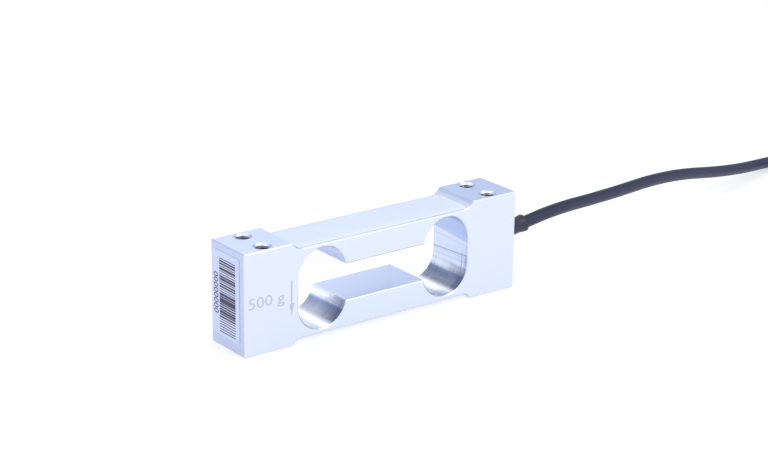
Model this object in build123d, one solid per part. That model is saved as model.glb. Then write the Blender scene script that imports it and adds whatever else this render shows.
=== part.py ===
from build123d import *
import math
import os

# A small single-point load cell: a milled aluminium beam with foil strain gauges on its four thin
# sections, and a four-core cable that leaves through one end.
# X runs along the beam towards the cable, Y across it and Z up, in millimetres.
# The origin is under the middle of the beam.

# Beam
beam_length = 70.0
beam_width = 12.0
beam_height = 22.0
block_length = 11.75
relief_depth = 1.5
relief_cutter_radius = 3.0
edge_break = 0.2

# Window through the beam: two upright slots joined by a gap between the upper and the lower bar
flexure_from_block = 7.25
flexure_thickness = 0.7
slot_radius = 6.0
bar_thickness = 5.5

# Mounting holes: two in each end, drilled right through and tapped from the top and from the bottom
hole_from_end = 6.0
hole_spacing = 7.0
thread_radius = 1.5
thread_depth = 7.0
drill_radius = 1.25
drill_point_angle = 118.0
countersink_radius = 1.95

# Cable bore and the two passages that slant from it to the milled faces
bore_radius = 2.0
bore_depth = 9.5
passage_mouth_from_end = 13.5
passage_meet_from_end = 8.0
upper_passage_radius = 0.8
lower_passage_radius = 1.1
passage_overrun = 1.5
passage_turn = 1.1

# Strain gauges
backing_length = 5.5
backing_width = 3.5
backing_thickness = 0.05
backing_shift = 0.55
foil_thickness = 0.04
grid_length = 3.2
grid_lines = 8
grid_line_width = 0.2
grid_line_pitch = 0.34
tab_x = 2.5
tab_y = 0.85
tab_size = 1.0

# Terminal strip under the beam, with two chip resistors
strip_x = 6.0
strip_length = 5.0
strip_width = 10.2
strip_thickness = 0.15
pad_thickness = 0.05
pad_length = 4.2
inner_pad_y = 1.6
inner_pad_width = 2.0
outer_pad_y = 4.2
outer_pad_width = 1.6
chip_length = 1.6
chip_width = 0.8
chip_height = 0.4
chip_cap = 0.3
chip_cap_rise = 0.02
chip_x = 4.6

# Gauge wires and their solder
wire_radius = 0.075
wire_pitch = 0.3
wire_clearance = 0.03
wire_row_offset = -0.55
wire_gather = 1.1
wire_exit_run = 0.9
wire_lane_inner = 1.45
wire_lane_outer = 3.9
wire_lane_top = 2.9
wire_lane_top_start = 5.5
wire_lane_top_end = 2.0
wire_pad_inner = 0.95
wire_pad_outer = 4.4
wire_pad_run = 6.0
lane_start = 1.5
solder_radius = 0.22
solder_rise = 0.03
solder_top_share = 0.6

# Cable cores
core_radius = 0.25
core_pitch = 0.52
core_clearance = 0.05
core_row_offset = 0.3
core_exit_run_inner = 1.7
core_exit_run_outer = 0.9
core_lane_inner = 2.1
core_lane_outer = 4.55
core_solder_radius = 0.35
core_pad_inset = 1.05

# Silicone over the gauges
sealant_cover_top = 0.07
sealant_cover_bottom = 0.17
sealant_inset = 0.5

# Cable
cable_radius = 1.4
cable_start_depth = 4.8
boot_start_depth = 4.0
boot_reach = 7.8
boot_wall = 0.4
boot_edge = 0.15
potting_depth = 3.0
arc_share = 0.45

# Label on the end without the cable
label_width = 10.0
label_height = 18.0
label_thickness = 0.1
label_y = 0.7
label_z = 11.5
label_corner = 0.5

# Coil in which the rest of the cable lies, on the surface that the beam stands on
coil_centre_from_end = 134.0
coil_centre_y = 5.0
coil_slack = 0.1
coil_radius = 15.5
stub_length_in = 11.0
stub_inset = 0.5
stub_lift = 0.1
stub_length_out = 13.5
leave_angle = 130.0
leave_height = 3.95

# Sleeve and cores at the far end
sleeve_wall = 0.4
sleeve_on_jacket = 4.5
sleeve_on_cores = 3.5
sleeve_nose_radius = 1.1
tail_offset = 0.33
tail_straight = 2.0
tail_drop_share = 0.6
tip_length = 4.0
tip_radius = 0.15

# Alignment of a shape that stands centred on its plane
on_plane = (Align.CENTER, Align.CENTER, Align.MIN)

# Sizes that follow
beam_end = beam_length / 2
mid_height = beam_height / 2
relieved_half = mid_height - relief_depth
window_height = 2 * (relieved_half - flexure_thickness)
relief_run = math.sqrt(relief_cutter_radius**2 - (relief_cutter_radius - relief_depth) ** 2)
relief_centre = beam_end - block_length - relief_run
flexure_x = beam_end - block_length - flexure_from_block
gap_height = 2 * (relieved_half - bar_thickness)
passage_mouth_x = beam_end - passage_mouth_from_end
passage_meet_x = beam_end - passage_meet_from_end
cable_start_x = beam_end - cable_start_depth
gauge_thickness = backing_thickness + foil_thickness
pad_height = strip_thickness + pad_thickness
wire_height = pad_height + wire_clearance + wire_radius
core_height = wire_height + wire_radius + core_clearance + core_radius
sealant_top = wire_height + wire_radius + sealant_cover_top
sealant_bottom = core_height + core_radius + sealant_cover_bottom
boot_radius = cable_radius + boot_wall
turn_height = cable_radius + coil_slack
layer_rise = cable_radius * math.sqrt(3)
outer_turn = coil_radius + cable_radius
inner_turn = coil_radius - cable_radius
coil_centre_x = beam_end + coil_centre_from_end
lead_in_y = coil_centre_y + outer_turn - stub_inset
lead_in_z = turn_height + stub_lift

# Route of the cable from the bore to its coil, in line with the bore first and with the coil last
cable_route = [
    (cable_start_x, 0.0, mid_height),
    (beam_end + 4.2, 0.0, mid_height),
    (beam_end + 17.0, 0.4, mid_height + 1.9),
    (beam_end + 36.0, 4.2, mid_height + 0.4),
    (beam_end + 62.0, 10.0, mid_height - 0.8),
    (beam_end + 89.0, 15.7, 4.6),
    (beam_end + 110.5, lead_in_y, lead_in_z),
    (coil_centre_x - stub_length_in, lead_in_y, lead_in_z),
]

# Route of the last stretch of cable, after a first run in line with the end of the coil
end_first_run = 6.5
end_route = [
    (coil_centre_x - 10.5, coil_centre_y - 27.6, 2.1),
    (coil_centre_x - 19.0, coil_centre_y - 28.0, cable_radius + sleeve_wall),
]

# How far each core's bare end reaches, and goes sideways, at the ends of its last three runs
tail_names = ["red", "black", "green", "white"]
tail_spread = [(1.0, 1.6, 0.6), (0.3, -0.3, -3.2), (-0.3, -2.2, -7.0), (-1.2, -4.4, -11.5)]
tail_reach = (5.5, 13.0, 24.0)


def relief_profile(side):
    """What the side cutter clears along the top (side 1) or the bottom (side -1)."""
    height = mid_height + side * (relieved_half + relief_cutter_radius)
    slot = SlotCenterToCenter(2 * relief_centre, 2 * relief_cutter_radius)
    return Plane.XZ * Pos(0, height) * slot


def window_profile():
    """Two upright slots whose ends leave the thin sections, and the gap between them."""
    slot = Rot(0, 0, 90) * SlotOverall(window_height, 2 * slot_radius)
    gap = Rectangle(2 * flexure_x, gap_height)
    window = Pos(-flexure_x, 0) * slot + Pos(flexure_x, 0) * slot + gap
    return Plane.XZ * Pos(0, mid_height) * window


def drilled_hole(radius, depth):
    """Hole with a drill point, running down from the origin."""
    tip = depth + radius / math.tan(math.radians(drill_point_angle / 2))
    outline = Polyline((0, 0), (radius, 0), (radius, -depth), (0, -tip), close=True)
    return revolve(make_face(Plane.XZ * outline), Axis.Z)


def tapped_hole():
    """Countersunk end of a mounting hole at its thread diameter, running down from the origin."""
    sink = countersink_radius - thread_radius
    runout = thread_depth + thread_radius - drill_radius
    outline = Polyline(
        (0, 0),
        (countersink_radius, 0),
        (thread_radius, -sink),
        (thread_radius, -thread_depth),
        (drill_radius, -runout),
        (0, -runout),
        close=True,
    )
    return revolve(make_face(Plane.XZ * outline), Axis.Z)


def passage_point(side, along, offset, y):
    """Point in a wire passage, so far out from where both meet, and offset towards the cable."""
    reach = Vector(passage_mouth_x - passage_meet_x, 0, side * relieved_half)
    outward = reach.normalized()
    across = Vector(side * outward.Z, 0, -side * outward.X)
    return Vector(passage_meet_x, y, mid_height) + outward * along + across * offset


def passage_exit(side, height, offset, y):
    """Where a line in a wire passage reaches a height over the milled face."""
    near = passage_point(side, 0, offset, y)
    outward = passage_point(side, 1, offset, y) - near
    level = mid_height + side * (relieved_half + height)
    return near + outward * ((level - near.Z) / outward.Z)


def wire_passage(side, radius):
    """Slanted hole from a milled face to the cable bore."""
    inner = passage_point(side, 0, 0, 0)
    mouth = passage_exit(side, 0, 0, 0)
    length = (mouth - inner).length + passage_overrun
    return Solid.make_cylinder(radius, length, Plane(origin=inner, z_dir=(mouth - inner).normalized()))


def make_beam():
    profile = Plane.XZ * Pos(0, mid_height) * Rectangle(beam_length, beam_height)
    profile = profile - relief_profile(1) - relief_profile(-1) - window_profile()
    beam = extrude(profile, amount=beam_width / 2, both=True)
    sides = beam.faces().filter_by(Axis.Y)
    ends = beam.faces().filter_by(Axis.X).sort_by(Axis.X)
    end_edges = [e for f in (ends[0], ends[-1]) for e in f.edges().filter_by(Axis.Y)]
    beam = chamfer([e for f in sides for e in f.edges()] + end_edges, edge_break)
    for x in (hole_from_end - beam_length / 2, beam_length / 2 - hole_from_end):
        for y in (-hole_spacing / 2, hole_spacing / 2):
            beam -= Pos(x, y, 0) * Cylinder(drill_radius, beam_height, align=on_plane)
            beam -= Pos(x, y, beam_height) * tapped_hole()
            beam -= Pos(x, y, 0) * Rot(180, 0, 0) * tapped_hole()
    beam -= Pos(beam_length / 2, 0, mid_height) * Rot(0, 90, 0) * drilled_hole(bore_radius, bore_depth)
    beam -= wire_passage(1, upper_passage_radius)
    beam -= wire_passage(-1, lower_passage_radius)
    return beam


def make_gauge():
    """Foil grid and two solder tabs on their backing, lying on the XY plane, tabs towards +X."""
    lowest = -(grid_lines - 1) / 2 * grid_line_pitch
    foil = Sketch()
    for line in range(grid_lines):
        y = lowest + line * grid_line_pitch
        foil += Pos(0, y) * Rectangle(grid_length, grid_line_width)
        if line < grid_lines - 1:
            side = 1 if line % 2 else -1
            x = side * (grid_length - grid_line_width) / 2
            loop = Rectangle(grid_line_width, grid_line_pitch + grid_line_width)
            foil += Pos(x, y + grid_line_pitch / 2) * loop
    for side in (-1, 1):
        foil += Pos(tab_x, side * tab_y) * Rectangle(tab_size, tab_size)
        lead = Rectangle(tab_x, grid_line_width, align=(Align.MIN, Align.CENTER))
        foil += Pos(0, side * lowest) * lead
    backing = Box(backing_length, backing_width, backing_thickness, align=on_plane)
    return Pos(backing_shift, 0, 0) * backing + Pos(0, 0, backing_thickness) * extrude(foil, foil_thickness)


def seat(side, x, turn=0.0):
    """Place on a milled face for what is modelled lying on the XY plane."""
    face = Pos(x, 0, mid_height + side * relieved_half)
    flip = Rot(0 if side > 0 else 180, 0, 0)
    return face * flip * Rot(0, 0, turn)


def make_strip():
    """Glass-fibre terminal strip with four copper pads, lying on the XY plane."""
    strip = Box(strip_length, strip_width, strip_thickness, align=on_plane)
    for side in (-1, 1):
        for y, width in ((inner_pad_y, inner_pad_width), (outer_pad_y, outer_pad_width)):
            pad = Box(pad_length, width, pad_thickness, align=on_plane)
            strip += Pos(0, side * y, strip_thickness) * pad
    return strip


def make_chip(y):
    """Chip resistor across the gap between two pads of the terminal strip."""
    body_width = chip_width - 2 * chip_cap_rise
    body_height = chip_height - 2 * chip_cap_rise
    chip = Pos(0, 0, chip_cap_rise) * Box(body_width, chip_length, body_height, align=on_plane)
    for side in (-1, 1):
        cap = Box(chip_width, chip_cap, chip_height, align=on_plane)
        chip += Pos(0, side * (chip_length - chip_cap) / 2, 0) * cap
    return seat(-1, chip_x) * Pos(0, -y, pad_height) * chip


def rounded_path(points):
    """Straight runs through the points, joined by arcs as large as the shorter run allows."""
    corners = [Vector(*point) for point in points]
    radii = []
    for before, corner, after in zip(corners, corners[1:], corners[2:]):
        arriving = corner - before
        leaving = after - corner
        half_turn = math.radians(arriving.get_angle(leaving)) / 2
        shorter = min(arriving.length, leaving.length)
        radii.append(arc_share * shorter / math.tan(half_turn))
    return FilletPolyline(*corners, radius=radii), radii


def round_sweep(points, radius):
    """Round bar along a rounded path."""
    path, radii = rounded_path(points)
    section = Plane(origin=path @ 0, z_dir=path % 0) * Circle(radius)
    return sweep(section, path=path)


def over_face(side, x, y, height):
    """Point at a height over a milled face."""
    return Vector(x, y, mid_height + side * (relieved_half + height))


def solder(side, x, y, base, top, radius):
    """Solder joint that stands on a tab or a pad."""
    joint = Cone(radius, radius * solder_top_share, top - base, align=on_plane)
    return seat(side, x) * Pos(0, side * y, base) * joint


def make_top_gauge_wire(gauge_x, side_y, lane, row):
    """Enamelled wire from a gauge on the top, down both passages to the strip under the beam."""
    tab = over_face(1, gauge_x + tab_x, side_y * tab_y, wire_height)
    y = side_y * (row + 0.5) * wire_pitch
    points = [tab]
    if row:
        lane_y = side_y * wire_lane_top
        points.append(over_face(1, gauge_x + wire_lane_top_start, lane_y, wire_height))
        points.append(over_face(1, flexure_x + wire_lane_top_end, lane_y, wire_height))
    points.append(over_face(1, passage_mouth_x - wire_gather, y, wire_height))
    points.append(passage_exit(1, wire_height, 0, y))
    points.append(passage_point(1, passage_turn, 0, y))
    points.append(passage_point(-1, passage_turn, wire_row_offset, y))
    out = passage_exit(-1, wire_height, wire_row_offset, y)
    points.append(out)
    points.append(out - Vector(wire_exit_run, 0, 0))
    points.append(over_face(-1, flexure_x + lane_start, side_y * lane, wire_height))
    end_x = strip_x + pad_length / 2 - solder_radius
    points.append(over_face(-1, end_x, side_y * lane, wire_height))
    top = wire_height + wire_radius + solder_rise
    wire = round_sweep(points, wire_radius)
    wire += solder(1, tab.X, tab.Y, gauge_thickness, top, solder_radius)
    wire += solder(-1, end_x, side_y * lane, pad_height, top, solder_radius)
    return wire


def make_bottom_gauge_wire(points):
    """Enamelled wire from the first point, on a gauge's tab, to the last, on a pad."""
    path = [over_face(-1, x, y, wire_height) for x, y in points]
    top = wire_height + wire_radius + solder_rise
    wire = round_sweep(path, wire_radius)
    wire += solder(-1, points[0][0], points[0][1], gauge_thickness, top, solder_radius)
    wire += solder(-1, points[-1][0], points[-1][1], pad_height, top, solder_radius)
    return wire


def make_core(side_y, row):
    """Insulated core from the end of the cable's jacket, down to the strip under the beam."""
    y = side_y * (row + 0.5) * core_pitch
    lane = side_y * (core_lane_outer if row else core_lane_inner)
    exit_run = core_exit_run_outer if row else core_exit_run_inner
    out = passage_exit(-1, core_height, core_row_offset, y)
    end_x = strip_x + pad_length / 2 - core_pad_inset
    points = [
        Vector(cable_start_x, y, mid_height),
        passage_exit(-1, -relieved_half, core_row_offset, y),
        out,
        out - Vector(exit_run, 0, 0),
        over_face(-1, flexure_x + lane_start, lane, core_height),
        over_face(-1, end_x, lane, core_height),
    ]
    core = round_sweep(points, core_radius)
    core += solder(-1, end_x, lane, pad_height, core_height + core_radius / 2, core_solder_radius)
    return core


def make_sealant(side, thickness, buried):
    """Silicone poured over a milled face, round everything that lies in it."""
    across = beam_width / 2 - sealant_inset
    fill = extrude(relief_profile(side), amount=across, both=True)
    level = mid_height + side * (relieved_half + thickness / 2)
    fill = fill & (Pos(0, 0, level) * Box(beam_length, beam_width, thickness))
    for piece in buried:
        fill -= piece
    return fill


def make_cable():
    path, radii = rounded_path(cable_route)
    print("cable radii", [round(radius, 1) for radius in radii], "length", round(path.length, 1))
    section = Plane(origin=path @ 0, z_dir=path % 0) * Circle(cable_radius)
    return sweep(section, path=path)


def make_boot():
    """Black sleeve round the cable, from inside the bore to where the cable swings free."""
    path, radii = rounded_path(cable_route)
    start = Vector(beam_end - boot_start_depth, 0, mid_height)
    line = FilletPolyline(start, *cable_route[1:3], radius=radii[0])
    ring = Circle(boot_radius) - Circle(cable_radius)
    boot = sweep(Plane(origin=line @ 0, z_dir=line % 0) * ring, path=line)
    share = (boot_start_depth + boot_reach) / line.length
    boot = split(boot, Plane(origin=line @ share, z_dir=line % share), keep=Keep.BOTTOM)
    outer = boot.edges().filter_by(GeomType.CIRCLE).sort_by(Axis.X)[-2:].sort_by(SortBy.LENGTH)[-1]
    return chamfer(outer, boot_edge)


def make_potting():
    """Ring of potting between the boot and the bore, level with the end of the beam."""
    ring = Circle(bore_radius) - Circle(boot_radius)
    start = Plane(origin=(beam_length / 2 - potting_depth, 0, mid_height), z_dir=(1, 0, 0))
    return extrude(start * ring, potting_depth)


def make_label():
    label = Plane(origin=(-beam_length / 2, label_y, label_z), x_dir=(0, 1, 0), z_dir=(-1, 0, 0))
    return extrude(label * RectangleRounded(label_width, label_height, label_corner), label_thickness)


def leave_frame():
    """Plane across the cable where it leaves the coil, looking along the cable."""
    angle = math.radians(leave_angle)
    tangent = Vector(math.cos(angle), -math.sin(angle), 0)
    centre = Vector(coil_centre_x, coil_centre_y, leave_height)
    start = centre + Vector(math.sin(angle), math.cos(angle), 0) * coil_radius
    return Plane(origin=start, z_dir=tangent)


def make_coil():
    """Outer shape of the coiled cable, with the short straight ends by which it joins the rest."""
    turns = [(outer_turn, turn_height), (inner_turn, turn_height), (coil_radius, turn_height + layer_rise)]
    circles = [Pos(x, y) * Circle(cable_radius + coil_slack) for x, y in turns]
    section = make_hull([edge for circle in circles for edge in circle.edges()])
    ring = Pos(coil_centre_x, coil_centre_y, 0) * revolve(Plane.XZ * section, Axis.Z)
    arrive = Plane(origin=cable_route[-1], z_dir=(1, 0, 0))
    ring += extrude(arrive * Circle(cable_radius), stub_length_in)
    ring += extrude(leave_frame() * Circle(cable_radius), stub_length_out)
    return ring


def end_points():
    """Route of the last stretch of cable, from the coil to the sleeve."""
    leave = leave_frame()
    start = leave.origin + leave.z_dir * stub_length_out
    return [start, start + leave.z_dir * end_first_run] + [Vector(*point) for point in end_route]


def sleeve_frame():
    """Plane across the end of the cable's jacket, looking out of the sleeve."""
    before, end = end_points()[-2:]
    return Plane(origin=end, z_dir=(end - before).normalized())


def make_sleeve():
    """Shrunk sleeve over the end of the jacket and the start of the cores."""
    radius = cable_radius + sleeve_wall
    outline = Polyline(
        (cable_radius, -sleeve_on_jacket),
        (radius, -sleeve_on_jacket),
        (radius, 0),
        (sleeve_nose_radius, sleeve_on_cores),
        (0, sleeve_on_cores),
        (0, 0),
        (cable_radius, 0),
        close=True,
    )
    return sleeve_frame() * revolve(make_face(Plane.XZ * outline), Axis.Z)


def tail_points(index):
    """Route of one bare core, from the sleeve's nose down to the surface."""
    nose = sleeve_frame()
    ahead = Vector(nose.z_dir.X, nose.z_dir.Y, 0).normalized()
    aside = Vector(-ahead.Y, ahead.X, 0)
    left = 1 if index < 2 else -1
    up = 1 if index in (1, 2) else -1
    start = nose.origin + nose.z_dir * sleeve_on_cores
    start = start + aside * (left * tail_offset) + nose.z_dir.cross(aside) * (up * tail_offset)
    heights = (start.Z - (start.Z - core_radius) * tail_drop_share, core_radius, core_radius)
    points = [start, start + nose.z_dir * tail_straight]
    for reach, sideways, height in zip(tail_reach, tail_spread[index], heights):
        point = start + ahead * reach + aside * sideways
        points.append(Vector(point.X, point.Y, height))
    return points


def make_tip(index):
    """Tinned end of a core's conductor."""
    before, end = tail_points(index)[-2:]
    return extrude(Plane(origin=end, z_dir=(end - before).normalized()) * Circle(tip_radius), tip_length)


def make_parts():
    parts = {"beam": make_beam()}
    parts["gauge_top_load_end"] = seat(1, -flexure_x) * make_gauge()
    parts["gauge_top_cable_end"] = seat(1, flexure_x) * make_gauge()
    parts["gauge_bottom_load_end"] = seat(-1, -flexure_x) * make_gauge()
    parts["gauge_bottom_cable_end"] = seat(-1, flexure_x, 180) * make_gauge()
    parts["terminal_strip"] = seat(-1, strip_x) * make_strip()
    parts["zero_resistor"] = make_chip(0)
    parts["span_resistor"] = make_chip((inner_pad_y + outer_pad_y) / 2)
    gauge_wires_top = {}
    gauge_wires_bottom = {}
    cores = {}
    for letter, side_y in (("a", -1), ("b", 1)):
        gauge_wires_top["wire_top_load_" + letter] = make_top_gauge_wire(
            -flexure_x, side_y, wire_lane_outer, 1
        )
        gauge_wires_top["wire_top_cable_" + letter] = make_top_gauge_wire(
            flexure_x, side_y, wire_lane_inner, 0
        )
        tab = (flexure_x - tab_x, side_y * tab_y)
        pad = (strip_x + pad_length / 2 - solder_radius, side_y * wire_pad_inner)
        middle = ((tab[0] + pad[0]) / 2, side_y * tab_y)
        gauge_wires_bottom["wire_bottom_cable_" + letter] = make_bottom_gauge_wire([tab, middle, pad])
        tab = (tab_x - flexure_x, side_y * tab_y)
        pad = (strip_x - pad_length / 2 + solder_radius, side_y * wire_pad_outer)
        lane = (tab[0] + wire_pad_run, side_y * wire_pad_outer)
        gauge_wires_bottom["wire_bottom_load_" + letter] = make_bottom_gauge_wire([tab, lane, pad])
    for index, (side_y, row) in enumerate(((-1, 1), (-1, 0), (1, 0), (1, 1))):
        cores["core_" + tail_names[index]] = make_core(side_y, row)
    parts |= gauge_wires_top | gauge_wires_bottom | cores
    in_top = [parts["gauge_top_load_end"], parts["gauge_top_cable_end"]]
    in_bottom = [parts["gauge_bottom_load_end"], parts["gauge_bottom_cable_end"]]
    in_bottom += [parts["terminal_strip"], parts["zero_resistor"], parts["span_resistor"]]
    crossing = list(gauge_wires_top.values())
    parts["sealant_top"] = make_sealant(1, sealant_top, in_top + crossing)
    in_bottom += crossing + list(gauge_wires_bottom.values()) + list(cores.values())
    parts["sealant_bottom"] = make_sealant(-1, sealant_bottom, in_bottom)
    parts["end_label"] = make_label()
    parts["bore_potting"] = make_potting()
    parts["cable_boot"] = make_boot()
    parts["cable_tube"] = make_cable()
    parts["cable_coil"] = make_coil()
    parts["cable_end"] = round_sweep(end_points(), cable_radius)
    parts["end_sleeve"] = make_sleeve()
    for index, name in enumerate(tail_names):
        parts["tail_" + name] = round_sweep(tail_points(index), core_radius)
        parts["tip_" + name] = make_tip(index)
    return parts


os.makedirs("parts", exist_ok=True)
for name, shape in make_parts().items():
    shape.label = name
    export_step(shape, os.path.join("parts", name + ".step"))
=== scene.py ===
import math

import bmesh
import bpy
from mathutils import Matrix, Vector


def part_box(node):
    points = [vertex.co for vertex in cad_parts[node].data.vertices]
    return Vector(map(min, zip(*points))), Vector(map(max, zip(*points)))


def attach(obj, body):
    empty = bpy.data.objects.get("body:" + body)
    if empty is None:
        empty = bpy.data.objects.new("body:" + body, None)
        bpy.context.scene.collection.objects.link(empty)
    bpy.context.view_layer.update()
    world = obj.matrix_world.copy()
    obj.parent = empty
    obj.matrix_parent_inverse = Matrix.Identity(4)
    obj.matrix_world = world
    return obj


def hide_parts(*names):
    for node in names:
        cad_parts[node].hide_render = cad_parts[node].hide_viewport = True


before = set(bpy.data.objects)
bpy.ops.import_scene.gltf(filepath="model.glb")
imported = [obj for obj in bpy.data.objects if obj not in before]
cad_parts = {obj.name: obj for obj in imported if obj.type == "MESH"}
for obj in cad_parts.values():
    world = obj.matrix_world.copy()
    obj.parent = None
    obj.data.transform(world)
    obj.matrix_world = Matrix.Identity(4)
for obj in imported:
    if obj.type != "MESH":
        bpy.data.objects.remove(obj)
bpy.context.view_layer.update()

# Looks of a small single-point load cell: milled aluminium beam, silicone over its gauges,
# printed end label, etched marks, and a thin four-core cable with its boot and stripped end.
# Everything is in metres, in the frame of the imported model.

bl_info = {
    "name": "Single-Point Load Cell",
    "version": (1, 0, 0),
    "blender": (4, 5, 0),
    "location": "3D View > Sidebar > Load Cell",
    "description": "Dresses the packed load cell: metal, silicone, label, marks, cable and stage",
    "category": "Object",
}

beam_low, beam_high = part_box("beam")
label_low, label_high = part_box("end_label")

# Places taken from the part's own sizes
mid_height = (beam_low.z + beam_high.z) / 2
relief_depth = 0.0015
relieved_half = mid_height - relief_depth
relief_centre = 0.020652
relief_cutter = 0.003
hole_from_end = 0.006
hole_spacing = 0.007
thread_radius = 0.0015
thread_depth = 0.007
thread_pitch = 0.0005
thread_ridge = 0.00023
countersink_depth = 0.00045
# How far below the countersinks the painted shade in the holes comes in
hole_shade_depth = 0.0003

# Reach of the milled window's finish from the middle of the beam, and the softness of its edge
window_end = 0.0222
window_half = 0.0089
window_edge = 0.0002

# Tone of each finish and of each painted shade or painted reflection, as shares of the metal's own colour
finish_and_painted_light_shares = {
    "worn": (0.93, 0.93, 0.93),
    # painted shade on the two end faces
    "painted_end_shade": (0.72, 0.75, 0.84),
    # painted shade and painted dark reflection in the curves of the window
    "painted_dark_band": (0.20, 0.21, 0.27),
    # painted shade on the near-upright curved walls of the window
    "upright": (0.86, 0.88, 0.95),
    # painted dark reflection above a slanted line on the curved walls
    "painted_upper_reflection": (0.60, 0.67, 0.87),
    "dull": (0.42, 0.44, 0.55),
    # painted shade inside the mounting holes
    "painted_hole_shade": (0.18, 0.15, 0.20),
}
# Painted highlight: near-white colour low in the window, for the bright reflection there
painted_lower_highlight = (0.92, 0.95, 0.99)

# Dark lines across the curved walls of the window: height, slope, half width and strength of each
askew_line_marks = (
    (0.00945, -0.053, 0.00024, 0.75),
    (0.00900, -0.050, 0.00012, 0.30),
    (0.01215, 0.040, 0.00016, 0.22),
    (0.00800, -0.030, 0.00016, 0.30),
)

# Route of the cable from the bore to the coil, in line with the bore first
cable_route = (
    (0.0302, 0.0000, 0.0110),
    (0.0392, 0.0000, 0.0110),
    (0.0520, 0.0004, 0.0129),
    (0.0710, 0.0042, 0.0114),
    (0.0970, 0.0100, 0.0102),
    (0.1240, 0.0157, 0.0046),
    (0.1455, 0.0216, 0.0016),
    (0.1580, 0.0219, 0.0015),
)
cable_steps = 10
boot_inset = 0.0008

# Coil: an outer turn, an inner turn beside it, and one on top of both
coil_centre = Vector((0.169, 0.005, 0.0))
coil_outer = 0.0169
coil_inner = 0.0141
coil_upper = 0.0155
coil_floor_height = 0.00142
coil_top_height = 0.00395
coil_hump = 0.00035
coil_turned = math.radians(850)
coil_steps = 38

# Where along the coil, in degrees, it goes inwards, outwards and up, and where it passes a turn
coil_inwards = (285, 352)
coil_outwards = (612, 652)
coil_climb = (582, 636)
coil_hump_starts = (640, 665)
coil_hump_ends = (700, 725)
coil_hump_again = (808, 838)

# Last stretch, which comes off the top turn, passes over the outer one and lies on the floor
leave_distances = (0.0070, 0.0135, 0.0200)
leave_heights = (0.0043, 0.0043, 0.0037)
end_route = ((0.1585, -0.0226, 0.0021), (0.1500, -0.0230, 0.0018))

# Bare cores at the end: how far each reaches ahead and goes sideways
core_spread = {
    "red": (0.0010, 0.0016, 0.0006),
    "black": (0.0003, -0.0003, -0.0032),
    "green": (-0.0003, -0.0022, -0.0070),
    "white": (-0.0012, -0.0044, -0.0115),
}
core_reach = (0.0055, 0.0130, 0.0240)
core_offset = 0.00033
core_straight = 0.002
core_drop_share = 0.6
core_radius = 0.00025
sleeve_ahead = 0.0035
sleeve_behind = 0.0045

# Soft light: the two lamps that the milled metal mirrors, as direction, edge (a cosine) and glow
room_lamps = (((-0.64, 0.75, 0.16), 0.975, 1.5), ((0.38, 0.75, 0.53), 0.972, 1.7))
lamp_softness = 0.7
lamp_blue = 1.03
white = (1.0, 1.0, 1.0)

# Soft finishes: roughness, scale of the grain, depth of the grain, and how far the colour varies
soft_finishes = {
    "cable_jacket": (0.42, 2600.0, 0.000014, 0.14),
    "boot_rubber": (0.40, 2400.0, 0.000016, 0.12),
    "shrink_rubber": (0.36, 2400.0, 0.000012, 0.10),
    "core": (0.34, 5000.0, 0.000004, 0.08),
    "potting": (0.35, 1800.0, 0.00002, 0.2),
    "enamelled_wire": (0.25, 8000.0, 0.000002, 0.15),
    "label_paper": (0.55, 4200.0, 0.000006, 0.03),
    "label_ink": (0.6, 5200.0, 0.000004, 0.35),
    "etched_marks": (0.5, 5200.0, 0.000005, 0.10),
    "floor": (0.7, 60.0, 0.0, 0.005),
}
silicone_alpha = 0.97

# Print on the end label, with middles as Y and Z and sizes as width and height
print_thickness = 0.00002
bars_centre = (-0.00005, 0.0111)
digits_centre = (0.0041, 0.0112)
digits_size = (0.0088, 0.0016)

# Marks on the front of the free end, with the middle as X and Z
etch_depth = 0.00001
capacity_centre = (-0.0297, 0.0109)
capacity_size = (0.0086, 0.0031)
arrow_x = -0.02365
arrow_top = 0.0143
arrow_head = 0.0093
arrow_tip = 0.0067
arrow_shaft = 0.00019
arrow_wing = 0.00056

# Lamps over the table: place, size and power
table_lights = {
    "key_light": ((0.32, -0.55, 0.75), 0.35, 1.5),
    "top_light": ((-0.25, 0.25, 0.95), 0.45, 0.9),
}


def colour_prop(name, description, default):
    return bpy.props.FloatVectorProperty(
        name=name, description=description, subtype="COLOR", size=3, min=0.0, max=1.0, default=default
    )


def length_prop(name, description, default):
    return bpy.props.FloatProperty(
        name=name, description=description, unit="LENGTH", precision=5, min=0.0, default=default
    )


def share_prop(name, description, default):
    return bpy.props.FloatProperty(
        name=name, description=description, subtype="FACTOR", min=0.0, max=1.0, default=default
    )


def angle_prop(name, description, degrees):
    return bpy.props.FloatProperty(
        name=name, description=description, subtype="ANGLE", default=math.radians(degrees)
    )


class BeamSettings(bpy.types.PropertyGroup):
    metal: colour_prop("Metal", "Colour that the aluminium reflects", (0.74, 0.805, 0.94))
    flat_roughness: share_prop("Flat faces", "Roughness of the ground outer faces", 0.34)
    cut_roughness: share_prop("Cut faces", "Roughness of the milled window", 0.17)
    silicone: colour_prop("Silicone", "Colour of the milky silicone", (0.73, 0.80, 0.96))
    etched: colour_prop("Etched marks", "Colour of the laser-etched marks", (0.50, 0.53, 0.63))
    capacity: bpy.props.StringProperty(
        name="Capacity", description="Rated load on the front face", default="500 g"
    )


class LabelSettings(bpy.types.PropertyGroup):
    paper: colour_prop("Paper", "Colour of the label", (0.62, 0.68, 0.90))
    ink: colour_prop("Ink", "Colour of the printed bars", (0.055, 0.045, 0.085))
    bar_module: length_prop("Bar module", "Height of the narrowest bar", 0.00017)
    bar_pitch: length_prop("Bar pitch", "From one bar to the next", 0.00054)
    bar_count: bpy.props.IntProperty(name="Bars", description="Number of bars", min=1, default=30)
    bar_length: length_prop("Bar length", "Length of each bar across the label", 0.0057)
    bar_seed: bpy.props.IntProperty(name="Seed", description="Order of thin and thick bars", default=11)
    digits: bpy.props.StringProperty(name="Digits", description="Figures beside the bars", default="00000000")


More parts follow.
